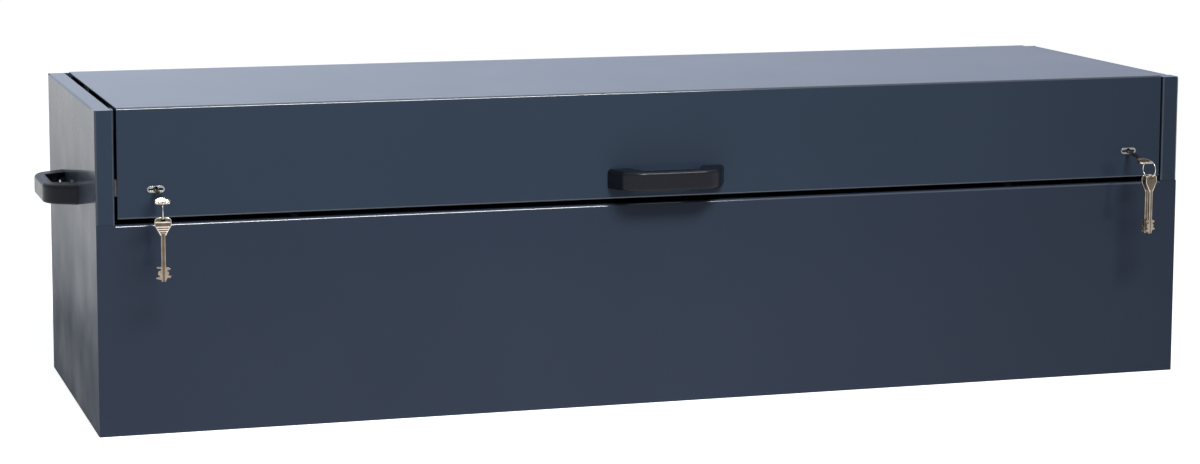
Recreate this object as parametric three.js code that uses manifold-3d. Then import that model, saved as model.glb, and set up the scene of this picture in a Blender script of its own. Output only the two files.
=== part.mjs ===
// A long steel tool vault. Its lid wraps over the top and the upper front and swings up on a continuous hinge
// at the back. A lock at each end of the lid throws a bolt sideways into the cheek beside it.
// Sizes are in millimetres: +X right, +Y back, +Z up. The origin is the centre of the underside.
import * as THREE from "three";
import { mergeVertices } from "three/addons/utils/BufferGeometryUtils.js";
import Module from "manifold-3d";

// The carcass and the sheet that it is folded from
const vault = { width: 1810, depth: 555, height: 500 };
const sheet = { thickness: 2, bend: 4 };
const seat_gap = 0.3;
const cut_overrun = 4;
const floor_sizes = { flange: 25 };
const front_wall = { lid_gap: 8, flange: 30, lip: 14, bend: 5 };
const cheek = { width: 29, front_leg: 32, top_leg: 30, liner_lap: 6, liner_top_gap: 22, liner_drop: 27 };

// The lid and what stiffens it
const lid_sizes = { rise: 3, side_gap: 4, drop: 170, return_flange: 22, side_flange: 25, bend: 4 };
const rib = { end_inset: 312, crown: 60, height: 20, flange: 15, front_gap: 30, rear_gap: 8 };
const rail = { lock_gap: 40, height: 52, depth: 24 };

// The continuous hinge
const hinge = { knuckles: 15, lid_inset: 14, leaf: 30, thickness: 2, end_gap: 0.5 };
const knuckle = { radius: 5, bore_radius: 2.8, pin_radius: 2.4, pin_overhang: 4, notch_gap: 0.8, skin_gap: 1 };

// The rubber buffers that the closed lid rests on
const buffer = { radius: 8, stem_radius: 3.5, stem_length: 9, end_inset: 272 };

// The locks, their bolts and the plates round their keyholes
const lock = { inset: 91, rise: 45, case_height: 66, case_inner_reach: 34, case_depth: 28, wall: 2 };
const bolt = { height: 26, thickness: 10, rise: 2.5, setback: 7.5, nose: 3, throw: 18, slot_gap: 1 };
const bolt_arm = { height: 5, clearance: 1.6, root: 12, reach: 26 };
const keeper = { thickness: 3, height: 56 };
const escutcheon = { length: 27, height: 10.5, thickness: 1.5, slot_gap: 0.6, skin_slot_gap: 2.4 };

// The double-bitted keys and their rings
const key = { length: 99, thickness: 2.4, shank_radius: 3.5, droop_deg: 9.5 };
const bow = { width: 27, length: 29, shoulder: 7, hole_radius: 3.4, rim: 2.4, panel_depth: 0.5 };
const bit = { width: 22.6, length: 20, tip: 2.5, skin_gap: 1.4 };
const ring = { radius: 13.7, wire_radius: 0.8, play: 0.7, lean: 4, hang_gap: 0.8 };
const bunch_turns_deg = { left: -9, right: 20, spare: 20 };

// The moulded bridge handles and their screws
const handle = { length: 196, reach: 49.5, height: 31.5, grip: 17, elbow: 168, elbow_reach: 29, face: 120, round: 3 };
const handle_corner = { leg_pull: 3, leg_reach: 6.5, face_pull: 10, face_drop: 2.5 };
const handle_opening = { wall_length: 118, grip_length: 92, taper: 4.2 };
const handle_lug = { reach: 8, height: 16, beyond_screw: 7, overlap: 1 };
const handle_places = { lid_rise: 33, side_drop: 156.5, side_back: 303 };
const screw = { head_radius: 5.5, head_height: 3.4, shank_radius: 3, length: 18, clearance: 0.4, inset: 12 };
const crown_share = 0.6;
const head_edge_share = 0.35;

// The gas struts: their lower pivot on the cheek, their upper stud on the lid, both measured from the hinge axis
const strut = { low_forward: 30, low_drop: 76, high_forward: 195, high_drop: 22, side_gap: 15 };
const strut_body = { radius: 9, rod_radius: 4, bore_gap: 0.35, start: 14, end: 126, rod_tail: 24 };
const strut_end = { radius: 7, width: 12, stud_radius: 4, stud_gap: 0.35, neck_radius: 5, stud_overhang: 1.5 };
const strut_plate = { thickness: 2.5, width: 40, height: 44, below_stud: 9 };

// Round forms are drawn with this many flat facets
const facets = { bend: 6, rod: 14, pin: 12, knuckle: 16, fine: 8, ring: 28, ring_wire: 6, curve: 4, bevel: 2 };

// Places that several pieces share
const right_x = vault.width / 2;
const left_x = -right_x;
const front_y = -vault.depth / 2;
const back_y = vault.depth / 2;
const sheet_inside = sheet.thickness + seat_gap;
const cheek_inner_x = left_x + cheek.width;
const lid_left_x = cheek_inner_x + lid_sizes.side_gap;
const lid_top_z = vault.height + lid_sizes.rise;
const lid_low_z = lid_top_z - lid_sizes.drop;
const front_top_z = lid_low_z - front_wall.lid_gap;
const skin_under_z = lid_top_z - sheet.thickness;
const skin_back_y = front_y + sheet.thickness;
const pin_y = back_y - sheet_inside - knuckle.radius;
const pin_z = skin_under_z - seat_gap - knuckle.radius;
const lid_rear_y = pin_y - knuckle.radius - knuckle.skin_gap;
const key_x = left_x + lock.inset;
const key_z = lid_low_z + lock.rise;
const hinge_length = 2 * (-lid_left_x - hinge.lid_inset);
const side_handle_z = vault.height - handle_places.side_drop;
const outer_rib_x = -lid_left_x - rib.end_inset;
const bolt_y = [skin_back_y + bolt.setback, skin_back_y + bolt.setback + bolt.thickness];
const bolt_z = [key_z + bolt.rise - bolt.height / 2, key_z + bolt.rise + bolt.height / 2];

const finishes = {
  paint: new THREE.MeshStandardMaterial({ name: "paint", color: 0x39465a, roughness: 0.35, metalness: 0 }),
  zinc: new THREE.MeshStandardMaterial({ name: "zinc", color: 0xc2c4c6, roughness: 0.32, metalness: 1 }),
  nickel: new THREE.MeshStandardMaterial({ name: "nickel", color: 0xcfc8b4, roughness: 0.25, metalness: 1 }),
  moulding: new THREE.MeshStandardMaterial({ name: "moulding", color: 0x26282e, roughness: 0.5, metalness: 0 }),
  rubber: new THREE.MeshStandardMaterial({ name: "rubber", color: 0x161616, roughness: 0.8, metalness: 0 }),
  strut: new THREE.MeshStandardMaterial({ name: "strut", color: 0x17181a, roughness: 0.4, metalness: 0 }),
};

const manifold = await Module();
manifold.setup();

// A closed geometry as a solid that can be joined and cut
function solidOf(geometry) {
  const plain = geometry.index ? geometry.toNonIndexed() : geometry.clone();
  plain.deleteAttribute("normal");
  plain.deleteAttribute("uv");
  const merged = mergeVertices(plain);
  return new manifold.Manifold(
    new manifold.Mesh({
      numProp: 3,
      vertProperties: new Float32Array(merged.attributes.position.array),
      triVerts: new Uint32Array(merged.index.array),
    }),
  );
}

// A solid as a geometry for a mesh
function geometryOf(solid) {
  const { numProp, vertProperties, triVerts } = solid.getMesh();
  const places = new Float32Array((vertProperties.length / numProp) * 3);
  for (let i = 0; i * numProp < vertProperties.length; i += 1) {
    places.set(vertProperties.subarray(i * numProp, i * numProp + 3), i * 3);
  }
  const geometry = new THREE.BufferGeometry();
  geometry.setAttribute("position", new THREE.BufferAttribute(places, 3));
  geometry.setIndex(new THREE.BufferAttribute(new Uint32Array(triVerts), 1));
  geometry.computeVertexNormals();
  return geometry;
}

const join = (first, ...rest) => rest.reduce((made, next) => made.add(next), first);
const cut = (first, ...rest) => rest.reduce((made, next) => made.subtract(next), first);
const span = (middle, length) => [middle - length / 2, middle + length / 2];

// A box between two places on each axis
function block([x0, x1], [y0, y1], [z0, z1]) {
  const geometry = new THREE.BoxGeometry(x1 - x0, y1 - y0, z1 - z0);
  geometry.translate((x0 + x1) / 2, (y0 + y1) / 2, (z0 + z1) / 2);
  return solidOf(geometry);
}

const SWEEP_AXES = {
  x: [new THREE.Vector3(0, 1, 0), new THREE.Vector3(0, 0, 1), new THREE.Vector3(1, 0, 0)],
  y: [new THREE.Vector3(1, 0, 0), new THREE.Vector3(0, 0, 1), new THREE.Vector3(0, -1, 0)],
  z: [new THREE.Vector3(1, 0, 0), new THREE.Vector3(0, 1, 0), new THREE.Vector3(0, 0, 1)],
};

// An outline drawn square to an axis and swept along it
function sweep(axis, outline, [from, to], curveSegments = facets.bend) {
  const geometry = new THREE.ExtrudeGeometry(outline, { depth: to - from, bevelEnabled: false, curveSegments });
  geometry.applyMatrix4(new THREE.Matrix4().makeBasis(...SWEEP_AXES[axis]));
  const run = SWEEP_AXES[axis][2];
  geometry.translate(...run.clone().multiplyScalar(axis === "y" ? -to : from).toArray());
  return solidOf(geometry);
}

// A round bar along an axis, between two places on it
function bar(axis, radius, [from, to], [a, b], sides = facets.rod) {
  const geometry = new THREE.CylinderGeometry(radius, radius, to - from, sides);
  const middle = (from + to) / 2;
  if (axis === "x") geometry.rotateZ(Math.PI / 2).translate(middle, a, b);
  if (axis === "y") geometry.translate(a, middle, b);
  if (axis === "z") geometry.rotateX(Math.PI / 2).translate(a, b, middle);
  return solidOf(geometry);
}

// The cross-section of a sheet folded square along its outer corners, which all turn the same way
function foldedSheet(corners, thickness, bend) {
  const points = corners.map(([u, v]) => new THREE.Vector2(u, v));
  const runs = points.slice(1).map((point, i) => point.clone().sub(points[i]).normalize());
  const turn = Math.sign(runs[0].cross(runs[1]));
  const inward = runs.map((run) => new THREE.Vector2(-run.y * turn, run.x * turn));
  const away = inward.map((side) => Math.atan2(-side.y, -side.x));
  const centres = points.slice(1, -1).map((corner, i) =>
    corner.clone().addScaledVector(runs[i], -bend).addScaledVector(inward[i], bend),
  );
  const shape = new THREE.Shape();
  shape.moveTo(points[0].x, points[0].y);
  const bend_start = points[1].clone().addScaledVector(runs[0], -bend);
  shape.lineTo(bend_start.x, bend_start.y);
  centres.forEach((c, i) => shape.absarc(c.x, c.y, bend, away[i], away[i + 1], turn < 0));
  const last = points.at(-1);
  shape.lineTo(last.x, last.y);
  const inner_last = last.clone().addScaledVector(inward.at(-1), thickness);
  shape.lineTo(inner_last.x, inner_last.y);
  for (let i = centres.length - 1; i >= 0; i -= 1) {
    shape.absarc(centres[i].x, centres[i].y, bend - thickness, away[i + 1], away[i], turn > 0);
  }
  const inner_first = points[0].clone().addScaledVector(inward[0], thickness);
  shape.lineTo(inner_first.x, inner_first.y);
  return shape;
}

// A slot with round ends, lying along the first axis of its outline
function oblong(length, height, [u, v] = [0, 0]) {
  const shape = new THREE.Shape();
  const reach = (length - height) / 2;
  shape.absarc(u + reach, v, height / 2, -Math.PI / 2, Math.PI / 2, false);
  shape.absarc(u - reach, v, height / 2, Math.PI / 2, Math.PI * 1.5, false);
  return shape;
}

function polygon(points) {
  return new THREE.Shape(points.map(([u, v]) => new THREE.Vector2(u, v)));
}

const root = new THREE.Group();
const right_hand = new THREE.Group();
right_hand.scale.x = -1;
root.add(right_hand);

// Puts one named sub-part into a group
function place(name, solid, finish, group = root) {
  const mesh = new THREE.Mesh(geometryOf(solid), finish);
  mesh.name = name;
  group.add(mesh);
  return mesh;
}

// Puts a left-hand sub-part in its place and its mirror image on the other side
function placePair(name, solid, finish) {
  place(`${name}_left`, solid, finish);
  place(`${name}_right`, solid, finish, right_hand);
}

// The slot that a bolt slides through, with a gap all round it
function boltSlot(side = -1, gap = bolt.slot_gap) {
  const deep_x = cheek_inner_x - sheet_inside - keeper.thickness - cut_overrun;
  const x = side < 0 ? [deep_x, key_x] : [-key_x, -deep_x];
  const grow = ([low, high]) => [low - gap, high + gap];
  return block(x, grow(bolt_y), grow(bolt_z));
}

const screw_hole_radius = screw.shank_radius + screw.clearance;
const screw_offset = handle_opening.wall_length / 2 - screw.inset;

function floorPan() {
  const x = right_x - sheet_inside;
  const y = back_y - sheet_inside;
  const upright = [0, floor_sizes.flange];
  return join(
    block([-x, x], [-y, y], [0, sheet.thickness]),
    block([-x, x], [-y, -y + sheet.thickness], upright),
    block([-x, x], [y - sheet.thickness, y], upright),
    block([-x, -x + sheet.thickness], [-y, y], upright),
    block([x - sheet.thickness, x], [-y, y], upright),
  );
}

// The lower front: flat behind the cheeks' feet, with a rolled edge and a stiffening lip along the opening
function frontPanel() {
  const rolled = foldedSheet(
    [
      [front_y, 0],
      [front_y, front_top_z],
      [front_y + front_wall.flange, front_top_z],
      [front_y + front_wall.flange, front_top_z - front_wall.lip],
    ],
    sheet.thickness,
    front_wall.bend,
  );
  const opening = right_x - cheek.width - seat_gap;
  const ends = block([left_x, right_x], [front_y, skin_back_y], [0, front_top_z - front_wall.bend]);
  const stile_foot = [0, front_top_z + seat_gap];
  return cut(
    join(
      sweep("x", rolled, [-opening, opening]),
      ends,
      block([left_x, -opening], [front_y, skin_back_y], stile_foot),
      block([opening, right_x], [front_y, skin_back_y], stile_foot),
    ),
    ...[-1, 1].map((side) => bufferHole(side)),
  );
}

function bufferPlace(side) {
  return [side * (-lid_left_x - buffer.end_inset), front_y + front_wall.flange / 2];
}

function bufferHole(side) {
  const z = [front_top_z - sheet.thickness - cut_overrun, front_top_z + cut_overrun];
  return bar("z", buffer.stem_radius + seat_gap, z, bufferPlace(side), facets.pin);
}

function lidBuffer(side) {
  const head = [front_top_z + seat_gap, lid_low_z - seat_gap];
  const stem = [head[0] - buffer.stem_length, head[0] + seat_gap];
  return join(
    bar("z", buffer.radius, head, bufferPlace(side)),
    bar("z", buffer.stem_radius, stem, bufferPlace(side), facets.pin),
  );
}

function backPanel() {
  return block([left_x, right_x], [back_y - sheet.thickness, back_y], [0, vault.height]);
}

// The side sheet, folded over the top and round the front into the cheek beside the lid
function sidePanel() {
  const leg_z = vault.height - cheek.top_leg;
  const over_top = foldedSheet(
    [
      [left_x, leg_z],
      [left_x, vault.height],
      [cheek_inner_x, vault.height],
      [cheek_inner_x, leg_z],
    ],
    sheet.thickness,
    sheet.bend,
  );
  const leg_y = front_y + cheek.front_leg;
  const round_front = foldedSheet(
    [
      [left_x, leg_y],
      [left_x, front_y],
      [cheek_inner_x, front_y],
      [cheek_inner_x, leg_y],
    ],
    sheet.thickness,
    sheet.bend,
  );
  const foot_z = front_top_z + 2 * seat_gap;
  const side_sheet = block(
    [left_x, left_x + sheet.thickness],
    [front_y + sheet_inside, back_y - sheet_inside],
    [0, leg_z + sheet.bend],
  );
  return cut(
    join(
      side_sheet,
      sweep("y", over_top, [front_y + sheet.thickness, back_y - sheet_inside]),
      sweep("z", round_front, [foot_z, vault.height]),
    ),
    boltSlot(),
    ...sideScrewPlaces().map((y) =>
      bar("x", screw_hole_radius, span(left_x, cut_overrun * 2), [y, side_handle_z], facets.pin),
    ),
  );
}

function sideScrewPlaces() {
  const middle = front_y + handle_places.side_back;
  return [middle - screw_offset, middle + screw_offset];
}

// The inner skin of the cheek, with a shelf back to the side sheet that closes it below
function cheekLiner() {
  const x = cheek_inner_x - sheet_inside;
  const low = front_top_z - cheek.liner_drop;
  const outline = foldedSheet(
    [
      [left_x + sheet_inside, low],
      [x, low],
      [x, vault.height - cheek.liner_top_gap],
    ],
    sheet.thickness,
    sheet.bend,
  );
  const front = front_y + cheek.front_leg - cheek.liner_lap;
  return sweep("y", outline, [front, back_y - sheet_inside]);
}

// The plate behind the cheek's slot that takes the bolt's load
function keeperPlate() {
  const x1 = cheek_inner_x - sheet_inside;
  const y = [front_y + sheet.bend + seat_gap, front_y + cheek.front_leg - cheek.liner_lap - seat_gap];
  const z = span(key_z + bolt.rise, keeper.height);
  return cut(block([x1 - keeper.thickness, x1], y, z), boltSlot());
}

// The outer line of the lid, from its back edge over the top and down to the flange under its lower edge
function lidLine() {
  return [
    [lid_rear_y, lid_top_z],
    [front_y, lid_top_z],
    [front_y, lid_low_z],
    [front_y + lid_sizes.return_flange, lid_low_z],
  ];
}

// The flange that stiffens each end of the lid, its edge within the thickness of the skin
function lidEndOutline() {
  const edge = sheet.thickness / 2;
  const bend = lid_sizes.bend - edge;
  const [front, top, low] = [front_y + edge, lid_top_z - edge, lid_low_z + edge];
  const deep_y = front_y + lid_sizes.side_flange;
  const deep_z = lid_top_z - lid_sizes.side_flange;
  const shape = new THREE.Shape();
  shape.moveTo(lid_rear_y, top);
  shape.absarc(front + bend, top - bend, bend, Math.PI / 2, Math.PI, false);
  shape.absarc(front + bend, low + bend, bend, Math.PI, Math.PI * 1.5, false);
  shape.lineTo(deep_y, low);
  shape.lineTo(deep_y, deep_z);
  shape.lineTo(lid_rear_y, deep_z);
  return shape;
}

function lidSkin() {
  const end = [lid_left_x, lid_left_x + sheet.thickness];
  const handle_z = lid_low_z + handle_places.lid_rise;
  const through_skin = [front_y - cut_overrun, skin_back_y + cut_overrun];
  const slot_length = escutcheon.length - escutcheon.skin_slot_gap;
  const slot_height = escutcheon.height - escutcheon.skin_slot_gap;
  const cuts = [-1, 1].flatMap((side) => [
    sweep("y", oblong(slot_length, slot_height, [side * key_x, key_z]), through_skin),
    boltSlot(side),
    bar("y", screw_hole_radius, through_skin, [side * screw_offset, handle_z], facets.pin),
  ]);
  const body = join(
    sweep("x", foldedSheet(lidLine(), sheet.thickness, lid_sizes.bend), [lid_left_x, -lid_left_x]),
    sweep("x", lidEndOutline(), end),
    sweep("x", lidEndOutline(), [-end[1], -end[0]]),
  );
  return cut(body, ...cuts);
}

// A hat-section rib under the lid's top, from front to back
function lidRib(x) {
  const top = skin_under_z - seat_gap;
  const low = top - rib.height;
  const half = rib.crown / 2;
  const wall = sheet.thickness;
  const outline = polygon([
    [x - half - rib.flange, top],
    [x - half - rib.flange, top - wall],
    [x - half, top - wall],
    [x - half, low],
    [x + half, low],
    [x + half, top - wall],
    [x + half + rib.flange, top - wall],
    [x + half + rib.flange, top],
    [x + half - wall, top],
    [x + half - wall, low + wall],
    [x - half + wall, low + wall],
    [x - half + wall, top],
  ]);
  const rear = pin_y - knuckle.radius - hinge.leaf - rib.rear_gap;
  return sweep("y", outline, [skin_back_y + rib.front_gap, rear]);
}

// The channel behind the lid's front that carries the handle
function frontRail() {
  const z = span(lid_low_z + handle_places.lid_rise, rail.height);
  const y = skin_back_y + seat_gap;
  const outline = foldedSheet(
    [
      [y, z[0]],
      [y + rail.depth, z[0]],
      [y + rail.depth, z[1]],
      [y, z[1]],
    ],
    sheet.thickness,
    sheet.bend,
  );
  const end = -key_x - lock.case_inner_reach - rail.lock_gap;
  return sweep("x", outline, [-end, end]);
}

// One leaf of the continuous hinge: its strip, notched for the other leaf's knuckles, and its own knuckles
function hingeLeaf(first, strip, notch) {
  const pitch = hinge_length / hinge.knuckles;
  const axis = [pin_y, pin_z];
  const start = (i) => -hinge_length / 2 + i * pitch;
  const own = [];
  const others = [];
  for (let i = 0; i < hinge.knuckles; i += 1) {
    const run = [start(i) + hinge.end_gap / 2, start(i + 1) - hinge.end_gap / 2];
    if (i % 2 === first) own.push(bar("x", knuckle.radius, run, axis, facets.knuckle));
    else others.push(notch([start(i) - hinge.end_gap / 2, start(i + 1) + hinge.end_gap / 2]));
  }
  const bore = bar("x", knuckle.bore_radius, span(0, hinge_length + cut_overrun), axis, facets.pin);
  return cut(join(cut(strip, ...others), ...own), bore);
}

const hinge_strip_x = span(0, hinge_length - hinge.end_gap);

function hingeFixedLeaf() {
  const y = [pin_y + knuckle.radius - hinge.thickness, pin_y + knuckle.radius];
  const low = pin_z - knuckle.radius - hinge.leaf;
  const strip = block(hinge_strip_x, y, [low, pin_z]);
  const deep = [pin_z - knuckle.radius - knuckle.notch_gap, pin_z + knuckle.radius];
  return hingeLeaf(0, strip, (x) => block(x, [pin_y, back_y], deep));
}

function hingeMovingLeaf() {
  const z = [pin_z + knuckle.radius - hinge.thickness, pin_z + knuckle.radius];
  const front = pin_y - knuckle.radius - hinge.leaf;
  const strip = block(hinge_strip_x, [front, pin_y], z);
  const deep = [pin_y - knuckle.radius - knuckle.notch_gap, pin_y + knuckle.radius];
  return hingeLeaf(1, strip, (x) => block(x, deep, [pin_z, lid_top_z]));
}

function hingePin() {
  const run = span(0, hinge_length + 2 * knuckle.pin_overhang);
  return bar("x", knuckle.pin_radius, run, [pin_y, pin_z], facets.pin);
}

// The folded case behind each keyhole, open towards the lid's front sheet. The bolt slides in its end wall.
function lockCase() {
  const x = [lid_left_x + sheet_inside, key_x + lock.case_inner_reach];
  const y = [skin_back_y + seat_gap, skin_back_y + lock.case_depth];
  const z = span(key_z, lock.case_height);
  const wall = lock.wall;
  const hollow = block([x[0] + wall, x[1] - wall], [y[0] - wall, y[1] - wall], [z[0] + wall, z[1] - wall]);
  return cut(block(x, y, z), hollow, boltSlot(-1, seat_gap));
}

// The bolt: a square nose beside the key's path, and an arm over it that the key drives
function lockBolt() {
  const nose = lid_left_x - bolt.nose;
  const inner = key_x - bit.width / 2 - bolt_arm.clearance;
  const arm_low = key_z + bit.width / 2 + bolt_arm.clearance + arm_rise;
  const arm_z = [arm_low, arm_low + bolt_arm.height];
  return join(
    block([nose, inner], bolt_y, bolt_z),
    block([inner - bolt_arm.root, inner], bolt_y, [bolt_z[0], arm_z[1]]),
    block([inner - bolt_arm.root, key_x + bolt_arm.reach], bolt_y, arm_z),
  );
}

// The plate round a keyhole that takes a double-bitted key lying flat
function escutcheonPlate() {
  const gap = escutcheon.slot_gap;
  const y = [front_y - seat_gap - escutcheon.thickness, front_y - seat_gap];
  const through = [y[0] - cut_overrun, y[1] + cut_overrun];
  const slot = oblong(bit.width + gap, key.thickness + 2 * gap, [key_x, key_z]);
  return cut(
    sweep("y", oblong(escutcheon.length, escutcheon.height, [key_x, key_z]), y, facets.curve),
    sweep("y", slot, through),
    bar("y", key.shank_radius + gap, through, [key_x, key_z]),
  );
}

const key_droop = THREE.MathUtils.degToRad(key.droop_deg);
const arm_rise = (bit.length + bit.tip) * Math.sin(key_droop);

// Widths of the bit's steps on one side, from the bow's end to the tip, as shares of its half width and length
const step_width_shares = [0.94, 0.46, 0.7, 0.56, 1, 0.42];
const step_end_shares = [0.16, 0.34, 0.56, 0.76, 0.94, 1];

// Half of the bow's outline: places across and down from its shoulders, as shares of half its width and its length
const bow_across_shares = [0.3, 0.62, 0.9, 1, 1, 0.88, 0.36];
const bow_down_shares = [0.02, 0, 0.06, 0.2, 0.42, 0.56, 0.86];
const bow_panel_width_share = 0.72;
const bow_panel_end_shares = [0.5, 0.36];

// A key hanging by its bow: the hole's centre is the group's origin and the bit points down
function keySolid() {
  const top = bow.shoulder;
  const half = bow.width / 2;
  const right_side = bow_across_shares.map((share, i) => [share * half, top - bow_down_shares[i] * bow.length]);
  const foot = top - bow.length;
  const dip = bow.hole_radius + bow.rim;
  const outline = [[0, dip], ...right_side, [key.shank_radius, foot], [-key.shank_radius, foot]];
  outline.push(...right_side.toReversed().map(([u, v]) => [-u, v]));
  const flat = span(0, key.thickness);
  const blade = sweep("y", polygon(outline), flat);
  const hole = bar("y", bow.hole_radius, span(0, key.thickness + cut_overrun), [0, 0]);
  const tip_z = top - key.length;
  const shank = bar("z", key.shank_radius, [tip_z, foot + bow.shoulder], [0, 0], facets.fine);
  const bit_low = tip_z + bit.tip;
  const bit_high = bit_low + bit.length;
  const steps = [];
  step_width_shares.forEach((share, i) => {
    const from = i === 0 ? 0 : step_end_shares[i - 1];
    steps.push([(share * bit.width) / 2, bit_high - from * bit.length]);
    steps.push([(share * bit.width) / 2, bit_high - step_end_shares[i] * bit.length]);
  });
  const other_side = steps.toReversed().map(([u, v]) => [-u, v]);
  const teeth = sweep("y", polygon([...steps, ...other_side]), flat);
  const panel_z = bow_panel_end_shares.map((share) => top - bow.length * share);
  const panels = [-1, 1].map((side) => {
    const y = span((side * key.thickness) / 2, 2 * bow.panel_depth);
    return block(span(0, bow.width * bow_panel_width_share), y, panel_z);
  });
  return join(cut(blade, hole, ...panels), shank, teeth);
}

const bow_to_tip = key.length - bow.shoulder;
const face_to_tip = sheet.thickness + bit.skin_gap + bit.length + bit.tip;

// The lock's key lies flat in its keyhole, drooping a little, with its ring over the rim of the bow. The spare
// keys hang from the ring's foot. The ring's plane is turned from front-to-back, and each spare's place on the
// ring is an angle from its foot.
function keyBunch(side, name, ring_turn_deg, spares) {
  const held = new THREE.Group();
  held.position.set(-side * key_x, front_y, key_z);
  held.rotation.x = key_droop;
  root.add(held);
  const lock_key = place(`key_${name}`, keySolid(), finishes.nickel, held);
  lock_key.position.y = face_to_tip - bow_to_tip;
  lock_key.rotation.x = Math.PI / 2;

  const hang = new THREE.Group();
  hang.position.y = face_to_tip - bow_to_tip;
  hang.rotation.set(-key_droop, 0, THREE.MathUtils.degToRad(ring_turn_deg));
  held.add(hang);
  const out = bow.hole_radius + ring.lean;
  const inside = ring.radius - ring.wire_radius - ring.play;
  const half = key.thickness / 2;
  const rim_out = bow.hole_radius * Math.cos(key_droop) + half * Math.sin(key_droop);
  const rim_drop = bow.hole_radius * Math.sin(key_droop) - half * Math.cos(key_droop);
  const down = Math.sqrt(inside ** 2 - (out - rim_out) ** 2) + rim_drop;
  const loop = place(`key_ring_${name}`, ringSolid(), finishes.nickel, hang);
  loop.position.set(0, -out, -down);
  loop.rotation.y = Math.PI / 2;

  spares.forEach(([spare_name, from_foot_deg]) => {
    const angle = THREE.MathUtils.degToRad(from_foot_deg);
    const wire = ring.wire_radius / Math.cos(angle) + half * Math.abs(Math.tan(angle));
    const below = bow.hole_radius - wire - ring.hang_gap;
    const spare = place(spare_name, keySolid(), finishes.nickel, hang);
    spare.position.set(
      0,
      -out - ring.radius * Math.sin(angle),
      -down - ring.radius * Math.cos(angle) - below,
    );
  });
}

function ringSolid() {
  return solidOf(new THREE.TorusGeometry(ring.radius, ring.wire_radius, facets.ring_wire, facets.ring));
}

// One half of a moulded bridge handle's outline, from behind the wall at y = 0 to the middle of its grip
function handleOutline(behind) {
  const end = handle.length / 2;
  const elbow = handle.elbow / 2;
  const face = handle.face / 2;
  const { leg_pull, leg_reach, face_pull, face_drop } = handle_corner;
  const { elbow_reach, reach } = handle;
  const shape = new THREE.Shape();
  shape.moveTo(end, behind);
  shape.lineTo(end, 0);
  shape.lineTo(elbow, -elbow_reach);
  const near_elbow = [elbow - leg_pull, -elbow_reach - leg_reach];
  const near_face = [face + face_pull, face_drop - reach];
  shape.bezierCurveTo(...near_elbow, ...near_face, face, -reach);
  shape.lineTo(-face, -reach);
  shape.bezierCurveTo(-near_face[0], near_face[1], -near_elbow[0], near_elbow[1], -elbow, -elbow_reach);
  shape.lineTo(-end, 0);
  shape.lineTo(-end, behind);
  const wall_half = handle_opening.wall_length / 2;
  const grip_half = handle_opening.grip_length / 2;
  const grip_y = handle.grip - reach;
  const opening = [
    [-wall_half, behind],
    [-wall_half, 0],
    [-grip_half, grip_y],
    [grip_half, grip_y],
    [wall_half, 0],
    [wall_half, behind],
  ];
  opening.forEach(([x, y]) => shape.lineTo(x, y));
  return shape;
}

// The handle grows slimmer from the wall to its elbows, on its soft side alone
function taperHandle(geometry, soft_side) {
  const half = handle.height / 2;
  const points = geometry.attributes.position;
  for (let i = 0; i < points.count; i += 1) {
    const z = points.getZ(i);
    const out = Math.min(Math.max(-points.getY(i) / handle.elbow_reach, 0), 1);
    if (z * soft_side > 0) points.setZ(i, z * (1 - (out * handle_opening.taper) / half));
  }
  return geometry;
}

// A moulded bridge handle: legs that lean in from the wall, soft corners, a straight grip and a lug for each screw
function handleSolid(soft_side) {
  const behind = handle.round + cut_overrun;
  const geometry = new THREE.ExtrudeGeometry(handleOutline(behind), {
    depth: handle.height - 2 * handle.round,
    bevelSize: handle.round,
    bevelThickness: handle.round,
    bevelOffset: -handle.round,
    bevelSegments: facets.bevel,
    curveSegments: facets.curve,
  });
  geometry.translate(0, 0, handle.round - handle.height / 2);
  const wall = block(span(0, 2 * handle.length), [0, 2 * behind], span(0, 2 * handle.height));
  const lug_start = screw_offset - handle_lug.beyond_screw;
  const lug_end = handle_opening.wall_length / 2 + handle_lug.overlap;
  const lug_y = [-handle_lug.reach, cut_overrun];
  const lug_z = span(0, handle_lug.height);
  const through = [-handle_lug.reach - cut_overrun, cut_overrun];
  const holes = [-1, 1].map((side) =>
    bar("y", screw_hole_radius, through, [side * screw_offset, 0], facets.pin),
  );
  const moulded = join(
    solidOf(taperHandle(geometry, soft_side)),
    block([lug_start, lug_end], lug_y, lug_z),
    block([-lug_end, -lug_start], lug_y, lug_z),
  );
  return cut(moulded, wall, ...holes);
}

// A pan-head screw along y, its head's seat at y = 0 and the shank going back
function screwSolid() {
  const { head_radius, head_height, shank_radius, length } = screw;
  const crown = head_radius * crown_share;
  const edge = head_height * head_edge_share;
  const profile = [
    [0, -head_height],
    [crown, -head_height],
    [head_radius, -edge],
    [head_radius, 0],
    [shank_radius, 0],
    [shank_radius, length],
    [0, length],
  ];
  const points = profile.map(([radius, y]) => new THREE.Vector2(radius, y));
  return solidOf(new THREE.LatheGeometry(points, facets.pin));
}

// Puts a handle and its two screws on a wall that faces -y in the group, its soft side up (1) or down (-1)
function placeHandle(name, group, soft_side) {
  place(name, handleSolid(soft_side), finishes.moulding, group).position.y = -seat_gap;
  [-1, 1].forEach((side, i) => {
    const screw_mesh = place(`${name}_screw_${i + 1}`, screwSolid(), finishes.zinc, group);
    screw_mesh.position.set(side * screw_offset, -handle_lug.reach - 2 * seat_gap, 0);
  });
}

const strut_low = [pin_y - strut.low_forward, pin_z - strut.low_drop];
const strut_high = [pin_y - strut.high_forward, pin_z - strut.high_drop];
const strut_run = [strut_high[0] - strut_low[0], strut_high[1] - strut_low[1]];
const strut_length = Math.hypot(...strut_run);
const strut_x = lid_left_x + sheet.thickness + strut.side_gap;
const stud_hole_radius = strut_end.stud_radius + strut_end.stud_gap;

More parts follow.
